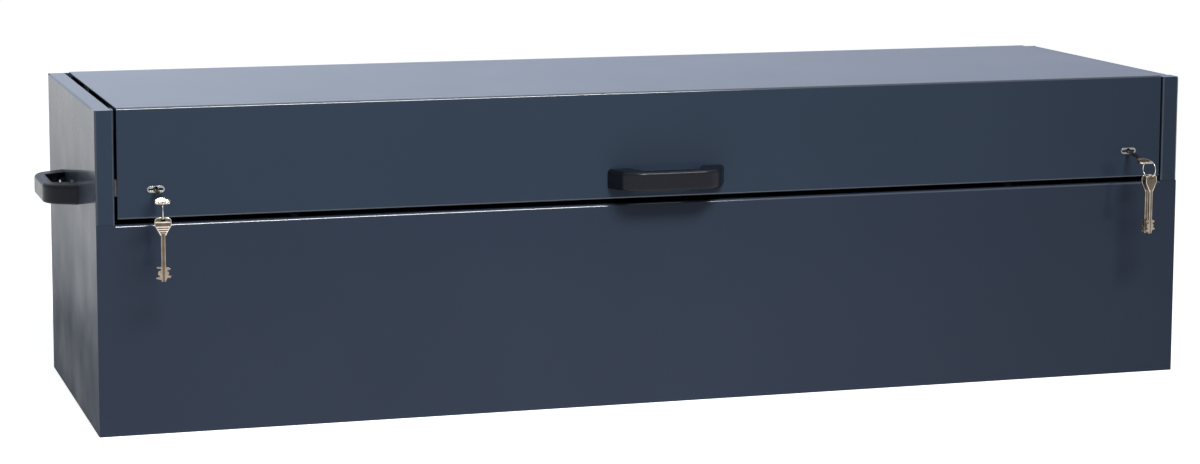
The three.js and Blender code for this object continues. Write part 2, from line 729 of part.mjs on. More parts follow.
// The strut's tube, along +y from its lower pivot, bored for the rod
function strutTube() {
  return cut(
    join(
      bar("y", strut_body.radius, [strut_body.start, strut_body.end], [0, 0]),
      bar("y", strut_end.neck_radius, [0, strut_body.start + seat_gap], [0, 0]),
      bar("x", strut_end.radius, span(0, strut_end.width), [0, 0]),
    ),
    bar("x", stud_hole_radius, span(0, strut_end.width + cut_overrun), [0, 0]),
    bar(
      "y",
      strut_body.rod_radius + strut_body.bore_gap,
      [strut_body.rod_tail - strut_body.bore_gap, strut_body.end + cut_overrun],
      [0, 0],
    ),
  );
}

function strutRod() {
  return join(
    bar("y", strut_body.rod_radius, [strut_body.rod_tail, strut_length], [0, 0], facets.pin),
    bar("x", strut_end.radius, span(0, strut_end.width), [strut_length, 0]),
  );
}

// A plate with a stud towards the middle of the vault
function studPlate([y, z], plate_z, x, stud_end) {
  const plate = block([x, x + strut_plate.thickness], span(y, strut_plate.width), plate_z);
  const stud = [x + strut_plate.thickness / 2, stud_end];
  return join(plate, bar("x", strut_end.stud_radius, stud, [y, z], facets.pin));
}

function strutBracket() {
  const x = cheek_inner_x - sheet.thickness;
  const stud_end = strut_x + strut_end.width / 2 + strut_end.stud_overhang;
  return studPlate(strut_low, span(strut_low[1], strut_plate.height), x, stud_end);
}

function lidStud() {
  const x = lid_left_x + sheet_inside;
  const stud_end = strut_x - strut_end.width / 2 - strut_end.stud_gap;
  const low = strut_high[1] - strut_plate.below_stud;
  return studPlate(strut_high, [low, skin_under_z - seat_gap], x, stud_end);
}

function strutGroup(parent) {
  const group = new THREE.Group();
  group.position.set(strut_x, ...strut_low);
  group.rotation.x = Math.atan2(strut_run[1], strut_run[0]);
  parent.add(group);
  return group;
}

// The carcass
place("floor_pan", floorPan(), finishes.paint);
place("front_panel", frontPanel(), finishes.paint);
place("back_panel", backPanel(), finishes.paint);
placePair("side_panel", sidePanel(), finishes.paint);
placePair("cheek_liner", cheekLiner(), finishes.paint);
placePair("keeper_plate", keeperPlate(), finishes.zinc);
place("lid_buffer_left", lidBuffer(-1), finishes.rubber);
place("lid_buffer_right", lidBuffer(1), finishes.rubber);

// The hinge
place("hinge_fixed_leaf", hingeFixedLeaf(), finishes.paint);
place("hinge_moving_leaf", hingeMovingLeaf(), finishes.paint);
place("hinge_pin", hingePin(), finishes.zinc);

// The lid
place("lid_skin", lidSkin(), finishes.paint);
place("lid_rib_left", lidRib(-outer_rib_x), finishes.paint);
place("lid_rib_centre", lidRib(0), finishes.paint);
place("lid_rib_right", lidRib(outer_rib_x), finishes.paint);
place("lid_front_rail", frontRail(), finishes.paint);

// The locks and their keys
placePair("lock_case", lockCase(), finishes.zinc);
placePair("lock_bolt", lockBolt(), finishes.zinc);
placePair("escutcheon", escutcheonPlate(), finishes.zinc);
keyBunch(-1, "left", bunch_turns_deg.left, [["spare_key_left", 0]]);
keyBunch(1, "right", bunch_turns_deg.right, [
  ["spare_key_right_1", -bunch_turns_deg.spare],
  ["spare_key_right_2", bunch_turns_deg.spare],
]);

// The handles
const lid_wall = new THREE.Group();
lid_wall.position.set(0, front_y, lid_low_z + handle_places.lid_rise);
root.add(lid_wall);
placeHandle("lid_handle", lid_wall, 1);
for (const [name, parent] of [["side_handle_left", root], ["side_handle_right", right_hand]]) {
  const side_wall = new THREE.Group();
  side_wall.position.set(left_x, front_y + handle_places.side_back, side_handle_z);
  side_wall.rotation.z = -Math.PI / 2;
  parent.add(side_wall);
  placeHandle(name, side_wall, -1);
}

// The gas struts
placePair("strut_bracket", strutBracket(), finishes.zinc);
placePair("lid_stud", lidStud(), finishes.zinc);
for (const [hand, parent] of [["left", root], ["right", right_hand]]) {
  const group = strutGroup(parent);
  place(`strut_tube_${hand}`, strutTube(), finishes.strut, group);
  place(`strut_rod_${hand}`, strutRod(), finishes.zinc, group);
}

export default root;
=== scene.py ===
"""A long steel tool vault in blue-grey powder coat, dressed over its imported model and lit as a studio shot.

Sizes are in millimetres in the classes and become metres in the meshes. The studio's own sizes are in metres.
+X is the vault's right, +Y its back and +Z is up. The origin is the centre of its underside.
"""

import logging
import math
from dataclasses import dataclass
from enum import Enum, IntEnum

import bmesh
import bpy
from mathutils import Matrix, Vector

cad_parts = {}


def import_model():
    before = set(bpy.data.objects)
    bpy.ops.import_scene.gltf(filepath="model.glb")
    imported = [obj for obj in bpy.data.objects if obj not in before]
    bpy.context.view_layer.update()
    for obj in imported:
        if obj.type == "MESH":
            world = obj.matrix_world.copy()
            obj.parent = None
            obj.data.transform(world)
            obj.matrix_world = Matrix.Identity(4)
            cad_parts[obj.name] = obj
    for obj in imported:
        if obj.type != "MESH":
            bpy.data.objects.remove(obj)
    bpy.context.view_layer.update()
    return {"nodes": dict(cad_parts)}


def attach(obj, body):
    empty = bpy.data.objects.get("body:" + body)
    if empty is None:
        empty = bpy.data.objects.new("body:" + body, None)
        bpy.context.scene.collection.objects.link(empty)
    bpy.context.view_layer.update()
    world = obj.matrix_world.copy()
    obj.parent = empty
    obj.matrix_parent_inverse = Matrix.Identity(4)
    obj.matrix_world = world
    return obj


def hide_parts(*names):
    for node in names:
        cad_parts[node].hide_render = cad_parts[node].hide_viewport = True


LOG = logging.getLogger("vault")
MM = 0.001
CIRCLE_LEAN = 0.5523
BMesh = bmesh.types.BMesh
Material = bpy.types.Material
Socket = bpy.types.NodeSocket
Pair = tuple[float, float]
Triple = tuple[float, float, float]


class Side(Enum):
    """The two ends of the vault, each with its direction along X."""

    LEFT = -1
    RIGHT = 1

    @property
    def word(self) -> str:
        """The side's name as it stands in a node's name."""
        return self.name.lower()


class KeyPart(IntEnum):
    """The parts of a key that are plated or worn differently, or darkened as painted shade, as its faces are
    numbered.
    """

    EDGE = 0
    # The recess faces take the dark finish: patina and painted shade.
    RECESS = 1
    SHANK = 2
    BAR = 3


class Tree:
    """A material's or world's node tree, with short calls for its nodes and links."""

    def __init__(self, owner: bpy.types.ID) -> None:
        """Empties the owner's tree.

        Args:
            owner: The material or world whose nodes are set.
        """
        owner.use_nodes = True
        self.nodes = owner.node_tree.nodes
        self.links = owner.node_tree.links
        self.nodes.clear()

    def node(self, kind: str, inputs: dict[str, object] | None = None, **settings: object) -> bpy.types.Node:
        """Adds one node.

        Args:
            kind: The node's type without its ShaderNode prefix.
            inputs: Values or output sockets for the named inputs.
            **settings: The node's own properties.

        Returns:
            The new node.
        """
        made = self.nodes.new("ShaderNode" + kind)
        for key, value in settings.items():
            setattr(made, key, value)
        for key, value in (inputs or {}).items():
            socket = made.inputs[key]
            if isinstance(value, Socket):
                self.links.new(value, socket)
            else:
                socket.default_value = value
        return made

    def place(self, scale: Triple = (1, 1, 1)) -> Socket:
        """Gives Object coordinates, stretched.

        Args:
            scale: The stretch along each axis.

        Returns:
            The vector output.
        """
        coordinates = self.node("TexCoord")
        mapping = self.node("Mapping", {"Vector": coordinates.outputs["Object"], "Scale": scale})
        return mapping.outputs["Vector"]

    def noise(self, scale: float, detail: float = 2.0, stretch: Triple = (1, 1, 1),
              roughness: float = 0.5) -> Socket:
        """Gives a cloudy value from 0 to 1 in Object coordinates.

        Args:
            scale: How many clouds fit in a metre.
            detail: How many finer layers are added.
            stretch: The stretch along each axis.
            roughness: How strong the finer layers are.

        Returns:
            The value output.
        """
        inputs = {"Vector": self.place(stretch), "Scale": scale, "Detail": detail, "Roughness": roughness}
        return self.node("TexNoise", inputs).outputs["Fac"]

    def spread(self, value: Socket, low: float, high: float | Socket, source: Pair = (0.3, 0.7)) -> Socket:
        """Maps a value onto a range.

        Args:
            value: The value's output.
            low: What the source range's start becomes.
            high: What its end becomes, as a number or an output.
            source: The source range.

        Returns:
            The mapped value's output.
        """
        inputs = {"Value": value, "From Min": source[0], "From Max": source[1], "To Min": low, "To Max": high}
        return self.node("MapRange", inputs).outputs["Result"]

    def tint(self, value: Socket, first: Triple | Socket, second: Triple) -> Socket:
        """Blends two colours by a value.

        Args:
            value: 0 gives the first colour and 1 the second.
            first: The first colour, or its output.
            second: The second colour.

        Returns:
            The colour output.
        """
        start = first if isinstance(first, Socket) else (*first, 1.0)
        inputs = {0: value, 6: start, 7: (*second, 1.0)}
        return self.node("Mix", inputs, data_type="RGBA").outputs[2]

    def bump(self, height: Socket, distance_mm: float, strength: float = 1.0,
             under: Socket | None = None) -> Socket:
        """Turns a height into a bent normal.

        Args:
            height: The height's output.
            distance_mm: How far a height of 1 stands out.
            strength: The share of it that shows.
            under: A normal that this one is laid over.

        Returns:
            The normal output.
        """
        inputs = {"Height": height, "Distance": distance_mm * MM, "Strength": strength}
        if under is not None:
            inputs["Normal"] = under
        return self.node("Bump", inputs).outputs["Normal"]

    def surface(self, inputs: dict[str, object]) -> None:
        """Ends the tree in one Principled shader.

        Args:
            inputs: Values or outputs for the shader's inputs.
        """
        shader = self.node("BsdfPrincipled", inputs)
        self.node("OutputMaterial", {"Surface": shader.outputs["BSDF"]})


@dataclass(frozen=True)
class PowderCoat:
    """Semi-gloss blue-grey powder coat on sheet steel that isn't quite flat."""

    name: str = "powder_coat"
    dark: Triple = (0.0255, 0.0395, 0.0645)
    light: Triple = (0.0295, 0.0450, 0.0730)
    roughness: float = 0.45
    specular: float = 0.05
    gloss: float = 0.1
    gloss_index: float = 1.6
    clouds: float = 1.6
    patches: float = 9.0
    waves: float = 2.6
    wave_stretch: Triple = (0.5, 1.0, 1.3)
    wave_mm: float = 0.3
    peel: float = 310.0
    peel_mm: float = 0.03
    # The coat is thinned on front faces and on the sides low down: painted reflection and painted shade.
    faced: Pair = (0.9, 0.99)
    film_front: float = 0.1
    film_side: Pair = (0.02, 0.58)
    film_rise: Pair = (0.12, 0.5)

    def material(self) -> Material:
        """Makes the coat's material."""
        made = bpy.data.materials.new(self.name)
        tree = Tree(made)
        clouds = tree.noise(self.clouds, 3.0)
        rough = tree.spread(tree.noise(self.patches, 4.0), self.roughness * 0.85, self.roughness * 1.2)
        waves = tree.bump(tree.noise(self.waves, 1.0, self.wave_stretch), self.wave_mm)
        peel = tree.bump(tree.noise(self.peel, 2.0), self.peel_mm, 0.6, waves)
        tree.surface({
            "Base Color": tree.tint(tree.spread(clouds, 0.0, 1.0), self.dark, self.light),
            "Roughness": rough,
            "Specular IOR Level": self.specular,
            "Coat Weight": self.film(tree),
            "Coat Roughness": self.gloss,
            "Coat IOR": self.gloss_index,
            "Normal": peel,
            "Coat Normal": waves,
        })
        return made

    def film(self, tree: Tree) -> Socket:
        """Gives the share of the gloss that shows: thinner on flat front faces, a painted reflection that
        leaves the bright highlight lines to the bends, and thinner on the sides low down, a painted shade.

        Args:
            tree: The material's tree.

        Returns:
            The value output.
        """
        normal = tree.node("SeparateXYZ", {0: tree.node("TexCoord").outputs["Normal"]}).outputs
        height = tree.node("SeparateXYZ", {0: tree.place()}).outputs["Z"]
        # Painted shade: the sides' gloss fades towards the bottom, so they look darker low down.
        low_side_painted_shade = tree.spread(height, *self.film_side, self.film_rise)
        shares = []
        # Painted reflection: flat front faces keep little gloss, while the bends keep all of it.
        for axis, least in (("Y", self.film_front), ("X", low_side_painted_shade)):
            facing = tree.node("Math", {0: normal[axis]}, operation="ABSOLUTE").outputs[0]
            shares.append(tree.spread(facing, 1.0, least, self.faced))
        return tree.node("Math", {0: shares[0], 1: shares[1]}, operation="MULTIPLY").outputs[0]


@dataclass(frozen=True)
class PlatedSteel:
    """Zinc or nickel plate: bright metal with a fine drawn grain and faint clouds."""

    name: str
    dark: Triple
    light: Triple
    roughness: float
    clouds: float = 60.0
    patches: float = 140.0
    grain: float = 900.0
    grain_stretch: Triple = (1.0, 1.0, 0.12)
    grain_mm: float = 0.02

    def material(self) -> Material:
        """Makes the plating's material."""
        made = bpy.data.materials.new(self.name)
        tree = Tree(made)
        clouds = tree.noise(self.clouds, 3.0)
        rough = tree.spread(tree.noise(self.patches, 4.0), self.roughness * 0.75, self.roughness * 1.35)
        grain = tree.bump(tree.noise(self.grain, 2.0, self.grain_stretch), self.grain_mm, 0.7)
        tree.surface({
            "Base Color": tree.tint(tree.spread(clouds, 0.0, 1.0), self.dark, self.light),
            "Metallic": 1.0,
            "Roughness": rough,
            "Normal": grain,
        })
        return made


@dataclass(frozen=True)
class Moulding:
    """Charcoal moulded plastic or rubber with a fine spark-eroded grain."""

    name: str
    dark: Triple
    light: Triple
    roughness: float
    patches: float = 70.0
    grain: float = 1500.0
    grain_mm: float = 0.06
    specular: float = 0.4

    def material(self) -> Material:
        """Makes the moulding's material."""
        made = bpy.data.materials.new(self.name)
        tree = Tree(made)
        grain = tree.noise(self.grain, 3.0)
        rough = tree.spread(tree.noise(self.patches, 3.0), self.roughness * 0.9, self.roughness * 1.15)
        tree.surface({
            "Base Color": tree.tint(tree.spread(grain, 0.0, 1.0), self.dark, self.light),
            "Roughness": rough,
            "Specular IOR Level": self.specular,
            "Normal": tree.bump(grain, self.grain_mm, 0.7),
        })
        return made


class Finishes:
    """One of each finish on the vault."""

    def __init__(self) -> None:
        """Makes the materials."""
        self.coat = PowderCoat().material()
        self.side_coat = PowderCoat("powder_coat_sides", wave_stretch=(1.0, 3.6, 0.45), wave_mm=0.22,
                                    roughness=0.52).material()
        # Painted shade: a darker copy of the same powder coat, for the lower front that gets less light than
        # the lid.
        self.front_coat_painted_shade = PowderCoat("powder_coat_front", (0.0245, 0.0350, 0.0585),
                                     (0.0285, 0.0400, 0.0665)).material()
        self.zinc = PlatedSteel("bright_zinc", (0.62, 0.63, 0.65), (0.78, 0.79, 0.80), 0.26).material()
        self.plate_zinc = PlatedSteel("plate_zinc", (0.27, 0.30, 0.30), (0.40, 0.43, 0.43), 0.3).material()
        # Painted shade: dark zinc for the lock case, keeper and bolt, so the slot and gap look shaded.
        self.zinc_painted_shade = PlatedSteel("zinc_painted_shade", (0.15, 0.14, 0.13), (0.24, 0.22, 0.20), 0.5).material()
        self.nickel = PlatedSteel("key_nickel", (0.64, 0.58, 0.48), (0.90, 0.84, 0.74), 0.1,
                                  grain_mm=0.006).material()
        self.worn = PlatedSteel("worn_nickel", (0.25, 0.19, 0.14), (0.38, 0.32, 0.25), 0.22).material()
        # Dull patina and painted shade: dark nickel for the keys' recesses and for the right bunch's bars.
        self.tarnish_and_painted_shade = PlatedSteel("tarnished_nickel", (0.11, 0.08, 0.055), (0.19, 0.145, 0.105),
                                   0.35).material()
        self.chrome = PlatedSteel("rod_chrome", (0.70, 0.70, 0.71), (0.82, 0.82, 0.83), 0.08).material()
        self.moulding = Moulding("charcoal_moulding", (0.0055, 0.0066, 0.0104), (0.0080, 0.0096, 0.0150),
                                 0.28, grain_mm=0.012, specular=0.2).material()
        # Black rubber, darkened further as painted shade, because the buffers sit in the slot's shade.
        self.rubber = Moulding("buffer_rubber_painted_shade", (0.004, 0.004, 0.004), (0.006, 0.006, 0.006), 0.85,
                               specular=0.1).material()
        self.enamel = Moulding("strut_enamel", (0.01, 0.01, 0.011), (0.014, 0.014, 0.015), 0.3,
                               grain=500.0, grain_mm=0.02).material()

    def key_plating(self, bars: Material) -> dict[KeyPart, Material]:
        """Gives the finish of each part of a key.

        Args:
            bars: The finish of its bars, which differs from bunch to bunch; the right bunch's darker bars are
                painted shade.

        Returns:
            The finishes by part, in the parts' order.
        """
        # The recesses take the dark finish, which is patina and painted shade.
        return {KeyPart.EDGE: self.nickel, KeyPart.RECESS: self.tarnish_and_painted_shade, KeyPart.SHANK: self.worn,
                KeyPart.BAR: bars}


def flat_normals(made: bpy.types.Object) -> None:
    """Lets the large flat faces keep their own direction beside the small rounded ones.

    Args:
        made: The object whose shading is set.
    """
    normals = made.modifiers.new("normals", "WEIGHTED_NORMAL")
    normals.mode = "FACE_AREA"
    normals.weight = 100
    normals.keep_sharp = True


def finish_piece(bm: BMesh, name: str, body: str, slot: str, *materials: Material,
                 smooth_deg: float = 40.0) -> bpy.types.Object:
    """Turns a bmesh into a finished piece that rides on a body.

    Args:
        bm: The piece's mesh in metres, in its place. It is freed.
        name: The piece's name.
        body: The body that it rides on.
        slot: The record's material slot; not used.
        *materials: Its finishes, in the order of its faces' numbers.
        smooth_deg: Edges that turn more than this stay sharp.

    Returns:
        The new object.
    """
    bmesh.ops.recalc_face_normals(bm, faces=bm.faces)
    mesh = bpy.data.meshes.new(name)
    bm.to_mesh(mesh)
    bm.free()
    mesh.shade_smooth()
    mesh.set_sharp_from_angle(angle=math.radians(smooth_deg))
    for material in materials:
        mesh.materials.append(material)
    made = bpy.data.objects.new(name, mesh)
    bpy.context.scene.collection.objects.link(made)
    flat_normals(made)
    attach(made, body)
    LOG.info("%s on %s, %d faces", name, body, len(mesh.polygons))
    return made


@dataclass(frozen=True)
class Point:
    """One point of an outline, with the places that its curve leans towards before and after it."""

    at: Pair
    before: Pair | None = None
    after: Pair | None = None


def plate(outlines: list[list[Point]], thickness: float, edge: float, steps: int = 12,
          edge_steps: int = 3) -> BMesh:
    """Makes a flat plate with rounded edges from closed outlines; an outline inside another is a hole.

    Args:
        outlines: The outlines in the XY plane.
        thickness: The plate's thickness along Z, centred on 0.
        edge: The radius of its rounded edges.
        steps: How many straight steps each curved run has.
        edge_steps: How many steps the rounding has.

    Returns:
        The plate in metres.
    """
    curve = bpy.data.curves.new("outline", "CURVE")
    curve.dimensions = "2D"
    curve.fill_mode = "BOTH"
    curve.resolution_u = steps
    curve.extrude = (thickness / 2 - edge) * MM
    curve.bevel_depth = edge * MM
    curve.bevel_resolution = edge_steps
    curve.offset = -edge * MM
    for outline in outlines:
        spline = curve.splines.new("BEZIER")
        spline.use_cyclic_u = True
        spline.bezier_points.add(len(outline) - 1)
        for target, point in zip(spline.bezier_points, outline):
            target.handle_left_type = "FREE"
            target.handle_right_type = "FREE"
            target.co = (point.at[0] * MM, point.at[1] * MM, 0.0)
            before = point.before or point.at
            after = point.after or point.at
            target.handle_left = (before[0] * MM, before[1] * MM, 0.0)
            target.handle_right = (after[0] * MM, after[1] * MM, 0.0)
    holder = bpy.data.objects.new("outline", curve)
    bpy.context.scene.collection.objects.link(holder)
    graph = bpy.context.evaluated_depsgraph_get()
    mesh = bpy.data.meshes.new_from_object(holder.evaluated_get(graph))
    bm = bmesh.new()
    bm.from_mesh(mesh)
    bpy.data.objects.remove(holder)
    bpy.data.curves.remove(curve)
    bpy.data.meshes.remove(mesh)
    bmesh.ops.remove_doubles(bm, verts=bm.verts, dist=1e-6)
    return bm


def mirrored(points: list[Point]) -> list[Point]:
    """Gives the same run of points on the other side of the Y axis, in the same order."""
    return [Point((-p.at[0], p.at[1]), p.before and (-p.before[0], p.before[1]),
                  p.after and (-p.after[0], p.after[1])) for p in points]


def backwards(points: list[Point]) -> list[Point]:
    """Gives the same run of points in the opposite order."""
    return [Point(p.at, p.after, p.before) for p in reversed(points)]


def oblong_points(length: float, height: float) -> list[Point]:
    """Gives the outline of a slot with round ends, lying along X.

    Args:
        length: Its length over the round ends.
        height: Its height.

    Returns:
        The outline.
    """
    end, reach, half = length / 2, (length - height) / 2, height / 2
    lean = half * CIRCLE_LEAN
    return [
        Point((reach, -half), None, (reach + lean, -half)),
        Point((end, 0.0), (end, -lean), (end, lean)),
        Point((reach, half), (reach + lean, half), None),
        Point((-reach, half), None, (-reach - lean, half)),
        Point((-end, 0.0), (-end, lean), (-end, -lean)),
        Point((-reach, -half), (-reach - lean, -half), None),
    ]


def join(first: BMesh, *others: BMesh) -> BMesh:
    """Adds other meshes to the first one and frees them.

    Args:
        first: The mesh that keeps all of them.
        *others: The meshes to add.

    Returns:
        The first mesh.
    """
    for other in others:
        mesh = bpy.data.meshes.new("joined")
        other.to_mesh(mesh)
        other.free()
        first.from_mesh(mesh)
        bpy.data.meshes.remove(mesh)
    return first


def box(size: Triple, centre: Triple, edge: float, steps: int = 2) -> BMesh:
    """Makes a block with rounded edges.

    Args:
        size: Its sizes in millimetres.
        centre: Its centre in millimetres.
        edge: The radius of its edges.
        steps: How many steps the rounding has.

    Returns:
        The block in metres.
    """
    bm = bmesh.new()
    bmesh.ops.create_cube(bm, size=1.0)
    bmesh.ops.scale(bm, vec=Vector(size) * MM, verts=bm.verts)
    bmesh.ops.translate(bm, vec=Vector(centre) * MM, verts=bm.verts)
    bmesh.ops.bevel(bm, geom=bm.edges[:], offset=edge * MM, segments=steps, affect="EDGES", profile=0.5,
                    material=-1)
    return bm


def turned(profile: list[Pair], steps: int = 32) -> BMesh:
    """Spins a profile round the Z axis.

    Args:
        profile: Radius and height of each point in millimetres, from the axis back to the axis.
        steps: How many steps the turn has.

    Returns:
        The turned shape in metres.
    """
    bm = bmesh.new()
    verts = [bm.verts.new((radius * MM, 0.0, height * MM)) for radius, height in profile]
    for first, second in zip(verts, verts[1:]):
        bm.edges.new((first, second))
    bmesh.ops.spin(bm, geom=bm.verts[:] + bm.edges[:], cent=(0, 0, 0), axis=(0, 0, 1), angle=math.tau,
                   steps=steps, use_merge=True)
    bmesh.ops.remove_doubles(bm, verts=bm.verts, dist=1e-7)
    return bm


def carve(body: BMesh, cutter: BMesh) -> BMesh:
    """Cuts one closed shape out of another and frees both.

    Args:
        body: The shape that is cut.
        cutter: The shape that is taken away.

    Returns:
        What is left.
    """
    holders = []
    for bm in (body, cutter):
        bmesh.ops.recalc_face_normals(bm, faces=bm.faces)
        mesh = bpy.data.meshes.new("carving")
        bm.to_mesh(mesh)
        bm.free()
        holder = bpy.data.objects.new("carving", mesh)
        bpy.context.scene.collection.objects.link(holder)
        holders.append(holder)
    modifier = holders[0].modifiers.new("cut", "BOOLEAN")
    modifier.operation = "DIFFERENCE"
    modifier.solver = "EXACT"
    modifier.object = holders[1]
    graph = bpy.context.evaluated_depsgraph_get()
    mesh = bpy.data.meshes.new_from_object(holders[0].evaluated_get(graph))
    left = bmesh.new()
    left.from_mesh(mesh)
    for holder in holders:
        data = holder.data
        bpy.data.objects.remove(holder)
        bpy.data.meshes.remove(data)
    bpy.data.meshes.remove(mesh)
    return left


def moved(bm: BMesh, matrix: Matrix) -> BMesh:
    """Puts a mesh in its place.

    Args:
        bm: The mesh in metres.
        matrix: Its place, with the shift in metres.

    Returns:
        The same mesh.
    """
    bmesh.ops.transform(bm, matrix=matrix, verts=bm.verts)
    return bm


def shift(x: float, y: float, z: float) -> Matrix:
    """Gives the matrix of a shift in millimetres."""
    return Matrix.Translation(Vector((x, y, z)) * MM)


def turn(degrees: float, axis: str) -> Matrix:
    """Gives the matrix of a turn about an axis."""
    return Matrix.Rotation(math.radians(degrees), 4, axis)


@dataclass(frozen=True)
class Vault:
    """The sizes of the whole vault that its fittings are placed by."""

    width: float = 1810.0
    depth: float = 555.0
    seat_gap: float = 0.3
    key_inset: float = 91.0
    key_height: float = 378.0
    lid_handle_height: float = 366.0
    side_handle_height: float = 343.5
    side_handle_back: float = 303.0

    @property
    def front(self) -> float:
        """Where the front's face is along Y."""
        return -self.depth / 2

    @property
    def end(self) -> float:
        """How far each end is from the middle."""
        return self.width / 2


class SheetMetal:
    """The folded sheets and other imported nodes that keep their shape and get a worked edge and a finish."""

    def __init__(self, nodes: dict[str, bpy.types.Object], finishes: Finishes) -> None:
        """Keeps the nodes and finishes.

        Args:
            nodes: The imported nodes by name.
            finishes: The vault's finishes.
        """
        self.nodes = nodes
        self.finishes = finishes

    def dress(self, name: str, material: Material, edge: float = 0.35) -> None:
        """Gives a node its material and breaks its sharp edges.

        Args:
            name: The node.
            material: What it is made of.
            edge: The width of its broken edges in millimetres.
        """
        node = self.nodes[name]
        for place in node.material_slots:
            place.material = material
        node.data.shade_smooth()
        weld = node.modifiers.new("weld", "WELD")
        weld.merge_threshold = 1e-6
        flats = node.modifiers.new("flats", "DECIMATE")
        flats.decimate_type = "DISSOLVE"
        flats.angle_limit = math.radians(0.4)
        bevel = node.modifiers.new("edges", "BEVEL")
        bevel.width = edge * MM
        bevel.segments = 2
        bevel.limit_method = "ANGLE"
        bevel.angle_limit = math.radians(35.0)
        flat_normals(node)
        LOG.info("%s dressed in %s", name, material.name)

    def dress_all(self) -> None:
        """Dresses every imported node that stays."""
        finishes = self.finishes
        # The front panel wears the darker copy of the coat, which is painted shade.
        self.dress("front_panel", finishes.front_coat_painted_shade)
        self.dress("lid_skin", finishes.coat, 0.15)
        for name in ("back_panel", "floor_pan", "hinge_fixed_leaf", "hinge_moving_leaf",
                     "lid_rib_left", "lid_rib_centre", "lid_rib_right", "lid_front_rail"):
            self.dress(name, finishes.coat)
        for side in Side:
            self.dress(f"side_panel_{side.word}", finishes.side_coat)
            self.dress(f"cheek_liner_{side.word}", finishes.coat)
            # These parts in the slot and gap take the dark zinc, which is painted shade.
            for name in ("keeper_plate", "lock_case", "lock_bolt"):
                self.dress(f"{name}_{side.word}", finishes.zinc_painted_shade)
            for name in ("strut_bracket", "lid_stud"):
                self.dress(f"{name}_{side.word}", finishes.zinc)
            # The buffers take the rubber darkened as painted shade.
            self.dress(f"lid_buffer_{side.word}", finishes.rubber, 0.8)
            self.dress(f"strut_tube_{side.word}", finishes.enamel, 0.6)
            self.dress(f"strut_rod_{side.word}", finishes.chrome, 0.5)
        self.dress("hinge_pin", finishes.zinc, 0.3)


